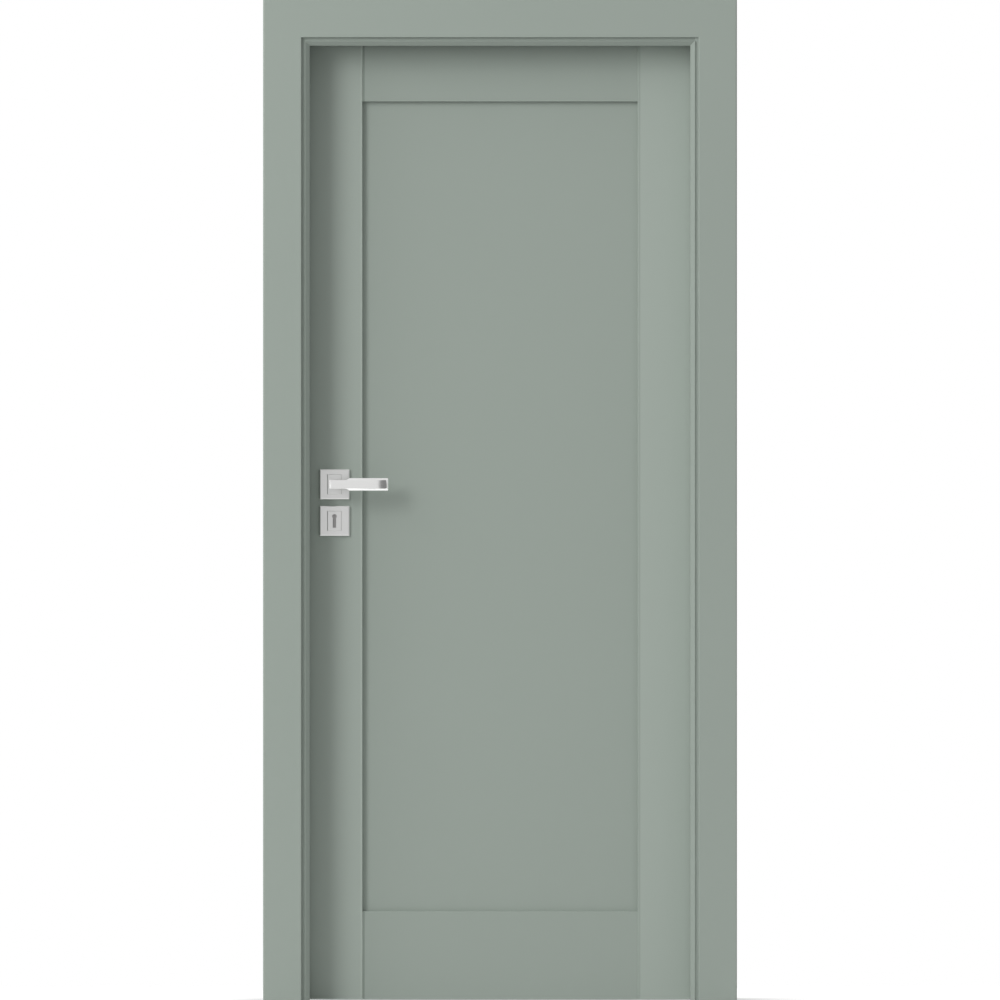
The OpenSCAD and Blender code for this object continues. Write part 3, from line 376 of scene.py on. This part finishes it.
def lacquer(name, shade, bare=None, second=None, where=None):
    """Sage lacquer of a screen grey. A mask is called as mask(tree, at), with the X, Y and Z of the place,
    and gives a socket: bare is 1 where the board shows, and where is 1 where the second shade shows."""
    finish, tree, shader = start_finish(name, IOR=1.45, Specular_IOR_Level=0.4)
    spot = place(tree)
    at = split(tree, spot)
    colour = tint(tree, noise(tree, spot, scale=2.2, detail=2.0), sage(shade + 1), sage(shade - 1))
    gloss = ramp(tree, noise(tree, spot, scale=38.0, detail=3.0), 0.0, 1.0, *SATIN)
    peel = noise(tree, spot, scale=620.0, detail=2.0, roughness=0.55)
    bump = add(tree, "ShaderNodeBump", {"Height": peel, "Strength": PEEL_STRENGTH, "Distance": PEEL_DEPTH})
    if where:
        colour = tint(tree, where(tree, at), colour, sage(second))
    if bare:
        mask = bare(tree, at)
        fibre = noise(tree, spot, scale=900.0, detail=5.0, roughness=0.7)
        colour = tint(tree, mask, colour, tint(tree, fibre, BOARD_DEEP, BOARD))
        gloss = ramp(tree, mask, 0.0, 1.0, gloss, BOARD_ROUGH)
    tree.links.new(colour, shader.inputs["Base Color"])
    tree.links.new(gloss, shader.inputs["Roughness"])
    tree.links.new(bump.outputs["Normal"], shader.inputs["Normal"])
    return finish


print("lacquer: roughness", SATIN, "over board of roughness", BOARD_ROUGH)

# %% [markdown]
# ### Where the board is bare
# The casings are lacquered in front and bare towards the wall, the jambs are bare on their outer faces, and
# all stand on bare ends. The places come from the boxes of the solids. A mask is a comparison along one axis,
# and masks are joined by their maximum for "either" and by their product for "both".

# %% Bare board
HAIR = 0.0004
CASING_T = 0.012
BARE_PAST_SEAL = 0.0155
wall_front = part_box("front_casing_head")[0].y + CASING_T
wall_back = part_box("back_casing_head")[1].y - CASING_T
bare_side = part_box("seal_hinge_side")[1].x + BARE_PAST_SEAL
bare_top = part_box("seal_head")[1].z + BARE_PAST_SEAL
jamb_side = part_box("hinge_jamb")[1].x
jamb_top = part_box("head_jamb")[1].z


def beyond(tree, axis, limit):
    return calc(tree, "GREATER_THAN", axis, limit)


def below(tree, axis, limit):
    return calc(tree, "LESS_THAN", axis, limit)


def either(tree, joined, *others):
    for mask in others:
        joined = calc(tree, "MAXIMUM", joined, mask)
    return joined


def both(tree, joined, *others):
    for mask in others:
        joined = calc(tree, "MULTIPLY", joined, mask)
    return joined


def front_board(tree, at):
    aside = beyond(tree, calc(tree, "ABSOLUTE", at["X"]), bare_side)
    outward = either(tree, aside, beyond(tree, at["Z"], bare_top))
    behind = both(tree, outward, beyond(tree, at["Y"], wall_front - HAIR))
    return either(tree, behind, below(tree, at["Z"], HAIR))


def back_board(tree, at):
    return either(tree, below(tree, at["Y"], wall_back + HAIR), below(tree, at["Z"], HAIR))


def jamb_board(tree, at):
    aside = beyond(tree, calc(tree, "ABSOLUTE", at["X"]), jamb_side - HAIR)
    return either(tree, aside, beyond(tree, at["Z"], jamb_top - HAIR), below(tree, at["Z"], HAIR))


print("board is bare behind y =", round(wall_front, 4), "and before y =", round(wall_back, 4))

# %% [markdown]
# ### Painted light in the groove
# Between the casing and the jamb's strip runs a groove. Its lacquer is painted paler than its depth would
# leave it: painted light, a little all round and most on the hinge side, where it fades towards the casing.
# The mask is 1 for the full second shade, and what is over 1 counts as 1 where the two shades are mixed.

# %% Groove beside the casing
STRIP_AND_GROOVE = 0.0168
GROOVE_W = 0.007
GROOVE_START = 0.006
GROOVE_LIGHT_FADE = (1.2, 0.35)
GROOVE_LIGHT_ELSEWHERE = 0.2
groove_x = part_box("hinge_jamb")[0].x + STRIP_AND_GROOVE
groove_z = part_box("head_jamb")[0].z + STRIP_AND_GROOVE
groove_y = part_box("front_casing_head")[0].y + GROOVE_START
hinge_side_x = groove_x - GROOVE_W


# Painted light: where this mask is 1 the groove's lacquer takes the paler second shade.
def groove_painted_light(tree, at):
    aside = below(tree, calc(tree, "ABSOLUTE", at["X"]), groove_x)
    deep = both(tree, aside, below(tree, at["Z"], groove_z), beyond(tree, at["Y"], groove_y))
    fading = ramp(tree, at["X"], hinge_side_x, groove_x, *GROOVE_LIGHT_FADE)
    on_hinge_side = beyond(tree, at["X"], hinge_side_x)
    amount = add(tree, "ShaderNodeMix", {"Factor": on_hinge_side, 2: GROOVE_LIGHT_ELSEWHERE, 3: fading}).outputs[0]
    return both(tree, deep, amount)


print("groove from", round(hinge_side_x, 4), "to", round(groove_x, 4), "metres beside the middle")

# %% [markdown]
# ### Painted light and shade on the leaf's edges and joints
# Along the rounded inner edges of the stiles the lacquer is painted paler on the lock side, a painted
# highlight where the rounding turns away from the light, and painted darker on the hinge side, a painted
# shade where the rounding turns towards it. On the push side a fine dark line beside the joint of each rail
# with the lock stile is a painted shadow that widens the stile's own shadow on the rail.

# %% Stile edges and rail joints
HINGE_SHADE_NEAR = 0.0035
HINGE_SHADE_FAR = 0.0075
LOCK_LIGHT_NEAR = 0.0018
LOCK_LIGHT_FAR = 0.0042
JOINT_SHADOW_MIDDLE = 0.0029
JOINT_SHADOW_HALF = 0.0031
hinge_edge_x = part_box("hinge_stile")[0].x
lock_edge_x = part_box("lock_stile")[1].x
leaf_middle_y = sum(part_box("panel"), Vector()).y / 2


# Painted shade: darker lacquer along the hinge stile's rounded edge, where it turns towards the light.
def hinge_edge_painted_shade(tree, at):
    return ramp(tree, at["X"], hinge_edge_x + HINGE_SHADE_NEAR, hinge_edge_x + HINGE_SHADE_FAR, 1.0, 0.0, "SMOOTHSTEP")


# Painted highlight: paler lacquer along the lock stile's rounded edge, where it turns away from the light.
def lock_edge_painted_light(tree, at):
    return ramp(tree, at["X"], lock_edge_x - LOCK_LIGHT_FAR, lock_edge_x - LOCK_LIGHT_NEAR, shape="SMOOTHSTEP")


# Painted shadow: a dark line on the push side of each rail, just beside the lock stile.
def joint_painted_shadow(tree, at):
    offset = calc(tree, "SUBTRACT", at["X"], lock_edge_x + JOINT_SHADOW_MIDDLE)
    line = ramp(tree, calc(tree, "ABSOLUTE", offset), 0.0, JOINT_SHADOW_HALF, 1.0, 0.0, "SMOOTHSTEP")
    return both(tree, line, below(tree, at["Y"], leaf_middle_y))


print("stiles end at", round(lock_edge_x, 4), "and", round(hinge_edge_x, 4))

# %% [markdown]
# ### A lacquer for each kind of board
# The stiles are painted lighter than the rails and panel: painted light, most on the hinge stile, which
# stands in for light thrown onto it from the jamb beside it. So each kind of board gets its own lacquer,
# with its shades and masks.

# %% Lacquers
# Painted light in the groove: its second shade of 192 is paler than the casing's 155.
front_casing_lacquer = lacquer("front_casing_lacquer", 155, bare=front_board, second=192, where=groove_painted_light)
back_casing_lacquer = lacquer("back_casing_lacquer", 155, bare=back_board)
jamb_lacquer = lacquer("jamb_lacquer", 153, bare=jamb_board)
# Painted light: the stiles' shades of 163 and 166 are lighter than the 155 of rails and panel.
lock_stile_lacquer = lacquer("lock_stile_lacquer", 163, second=187, where=lock_edge_painted_light)
# Painted shade on the hinge stile's edge: its second shade of 152 is darker than the stile's 166.
hinge_stile_lacquer = lacquer("hinge_stile_lacquer", 166, second=152, where=hinge_edge_painted_shade)
# Painted shadow beside the rail joints: the rails' second shade of 123 is much darker than their 155.
rail_lacquer = lacquer("rail_lacquer", 155, second=123, where=joint_painted_shadow)
panel_lacquer = lacquer("panel_lacquer", 155)
print("lacquers:", [made.name for made in bpy.data.materials if made.name.endswith("lacquer")])

# %% [markdown]
# ## The metals
# Rose and key plate are satin chrome: a metal with a grey of its own and a roughness that blurs what it
# mirrors. The lever is polished further, so it is brighter and sharper, with fine lines along it. Inside the
# leaf the lock is zinc-plated steel, whose crystals leave a faint mottle. Fine noise in the roughness keeps
# the metals from looking like plastic.

# %% Metals
LINE_DEPTH = 0.00005


def metal(name, bright, dull, rough, spread, grain, stretch=(1.0, 1.0, 1.0), lines=0.0):
    finish, tree, shader = start_finish(name, Metallic=1.0)
    stretched = add(tree, "ShaderNodeMapping", {"Vector": place(tree), "Scale": stretch}).outputs["Vector"]
    fine = noise(tree, stretched, scale=grain, detail=4.0, roughness=0.6)
    tree.links.new(tint(tree, fine, dull, bright), shader.inputs["Base Color"])
    tree.links.new(ramp(tree, fine, 0.0, 1.0, rough - spread, rough + spread), shader.inputs["Roughness"])
    if lines:
        bump = add(tree, "ShaderNodeBump", {"Height": fine, "Strength": lines, "Distance": LINE_DEPTH})
        tree.links.new(bump.outputs["Normal"], shader.inputs["Normal"])
    return finish


satin_chrome = metal(
    "satin_chrome", bright=linear(229, 229, 228), dull=linear(222, 222, 221), rough=0.30, spread=0.05,
    grain=700.0, lines=0.05)
polished_chrome = metal(
    "polished_chrome", bright=linear(250, 250, 249), dull=linear(246, 246, 245), rough=0.18, spread=0.03,
    grain=500.0, stretch=(0.08, 1.0, 1.0), lines=0.03)
zinc_steel = metal(
    "zinc_steel", bright=linear(186, 188, 190), dull=linear(150, 152, 156), rough=0.38, spread=0.10,
    grain=160.0)
print("metals:", satin_chrome.name, polished_chrome.name, zinc_steel.name)

# %% [markdown]
# ## Rubber
# The seal in the stop is soft grey rubber, and the guard in the keyhole is a paler one. Rubber gets a dry
# bloom on its skin with time. One noise gives both sides of it: where the bloom is, the grey is paler and
# duller.

# %% Rubber
DRY = (0.55, 0.75)


def rubber(name, deep, bloomed):
    finish, tree, shader = start_finish(name, IOR=1.5, Specular_IOR_Level=0.25)
    bloom = noise(tree, place(tree), scale=260.0, detail=4.0)
    tree.links.new(tint(tree, bloom, deep, bloomed), shader.inputs["Base Color"])
    tree.links.new(ramp(tree, bloom, 0.0, 1.0, *DRY), shader.inputs["Roughness"])
    return finish


seal_rubber = rubber("seal_rubber", linear(112, 117, 114), linear(124, 128, 125))
guard_rubber = rubber("guard_rubber", linear(170, 168, 168), linear(182, 180, 180))
print("rubbers:", seal_rubber.name, guard_rubber.name)

# %% [markdown]
# ## Beech
# The dowels that hold the mitres and the rails are beech. Its grain is noise that is stretched along the
# width of the door, as the rails' dowels lie.

# %% Beech
GRAIN_STRETCH = (6.0, 160.0, 160.0)
BEECH_DEEP = linear(188, 150, 108)
BEECH_PALE = linear(216, 184, 140)
dowel_beech, wood, wood_shader = start_finish("dowel_beech", Roughness=0.65, Specular_IOR_Level=0.3)
along = add(wood, "ShaderNodeMapping", {"Vector": place(wood), "Scale": GRAIN_STRETCH}).outputs["Vector"]
grain = noise(wood, along, scale=3.0, detail=5.0, roughness=0.65)
wood.links.new(tint(wood, grain, BEECH_DEEP, BEECH_PALE), wood_shader.inputs["Base Color"])
print("wood:", dowel_beech.name)

# %% [markdown]
# ## Finishes on the solids
# The record gives each solid a material slot, and most slots have one finish. The lacquered boards are told
# apart by their names, because each kind has its own lacquer. So are the levers and the guard.

# %% Dress the solids
FINISH_OF_SLOT = {
    "sage_paint": panel_lacquer, "satin_chrome": satin_chrome, "zinc_steel": zinc_steel,
    "seal_rubber": seal_rubber, "dowel_wood": dowel_beech,
}


def finish_for(node):
    if node.startswith("front_casing"):
        return front_casing_lacquer
    if node.startswith("back_casing"):
        return back_casing_lacquer
    if node.endswith("_jamb"):
        return jamb_lacquer
    if node == "lock_stile":
        return lock_stile_lacquer
    if node == "hinge_stile":
        return hinge_stile_lacquer
    if node.endswith("_rail"):
        return rail_lacquer
    if node.startswith("lever"):
        return polished_chrome
    if node == "key_guard":
        return guard_rubber
    return FINISH_OF_SLOT[slot_of[node]]


for node, solid in frame["nodes"].items():
    solid.data.materials.clear()
    solid.data.materials.append(finish_for(node))
print("dressed", len(frame["nodes"]), "solids")

# %% [markdown]
# ## Copies to work on
# A CAD solid's mesh is loose triangles and isn't changed. A piece that needs more work is made from a copy of
# it: the copy is merged into one skin, and its flat faces are joined again, so that its edges are the edges
# of the real piece. The finished copy rides on the same body, keeps the slot and stands for the solid.

# %% Merged copies
MERGE_M = 0.000002
FLAT_DEG = 0.3


def merged_copy(node, name):
    """A merged copy of a solid's mesh, left in edit mode with nothing selected."""
    bpy.ops.object.select_all(action="DESELECT")
    solid = frame["nodes"][node]
    solid.select_set(True)
    bpy.context.view_layer.objects.active = solid
    bpy.ops.object.duplicate()
    piece = bpy.context.object
    del piece["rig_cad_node"]
    piece.name = name
    bpy.ops.object.mode_set(mode="EDIT")
    bpy.ops.mesh.select_mode(type="EDGE")
    bpy.ops.mesh.select_all(action="SELECT")
    bpy.ops.mesh.remove_doubles(threshold=MERGE_M)
    bpy.ops.mesh.dissolve_limited(angle_limit=math.radians(FLAT_DEG))
    bpy.ops.mesh.select_all(action="DESELECT")
    return piece


def stand_for(piece, node):
    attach(piece, body_of[node])
    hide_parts(node)
    print(piece.name, len(piece.data.polygons), "faces")


print("flat faces are joined below", FLAT_DEG, "degrees")

# %% [markdown]
# ## Soft edges on the metal
# A real edge is never a knife: it is rounded by a few tenths of a millimetre, and that rounding is what
# glints. So the sharp edges of roses, key plates and levers are bevelled. Weighted normals then keep the flat
# faces flat in the light and leave the turn to the bevel.

# %% Rounded metal pieces
SHARP_DEG = 35.0
SMOOTH_DEG = 40.0
ROUND_STEPS = 3
PLATE_EDGE = 0.0004
LEVER_EDGE = 0.0006


def rounded(node, radius):
    piece = merged_copy(node, node + "_rounded")
    bpy.ops.mesh.edges_select_sharp(sharpness=math.radians(SHARP_DEG))
    bpy.ops.mesh.bevel(offset=radius, segments=ROUND_STEPS, profile=0.5, clamp_overlap=True)
    bpy.ops.object.mode_set(mode="OBJECT")
    bpy.ops.object.shade_smooth_by_angle(angle=math.radians(SMOOTH_DEG))
    flatten = piece.modifiers.new("flat_faces", "WEIGHTED_NORMAL")
    flatten.keep_sharp = True
    bpy.ops.object.modifier_apply(modifier=flatten.name)
    stand_for(piece, node)


for side in ("front", "back"):
    rounded("rose_" + side, PLATE_EDGE)
    rounded("key_plate_" + side, PLATE_EDGE)
    rounded("lever_" + side, LEVER_EDGE)

# %% [markdown]
# ## The guard in the keyhole
# The guard is cut by a slit for the key. Without a key the rubber lips spring together, so the slit's walls
# are drawn towards each other until only a hair is left between them, and no light comes through the keyhole.

# %% Closed lips
SLIT_HALF = 0.0003
CLOSED = 0.04
guard = merged_copy("key_guard", "key_guard_closed")
bpy.ops.mesh.select_mode(type="VERT")
bpy.ops.object.mode_set(mode="OBJECT")
slit_x = sum(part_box("key_guard"), Vector()).x / 2
for corner in guard.data.vertices:
    corner.select = abs((guard.matrix_world @ corner.co).x - slit_x) < SLIT_HALF
lips = sum(corner.select for corner in guard.data.vertices)
bpy.ops.object.mode_set(mode="EDIT")
bpy.ops.transform.resize(value=(CLOSED, 1.0, 1.0), center_override=(slit_x, 0.0, 0.0))
bpy.ops.object.mode_set(mode="OBJECT")
stand_for(guard, "key_guard")
print("moved", lips, "corners of the slit")
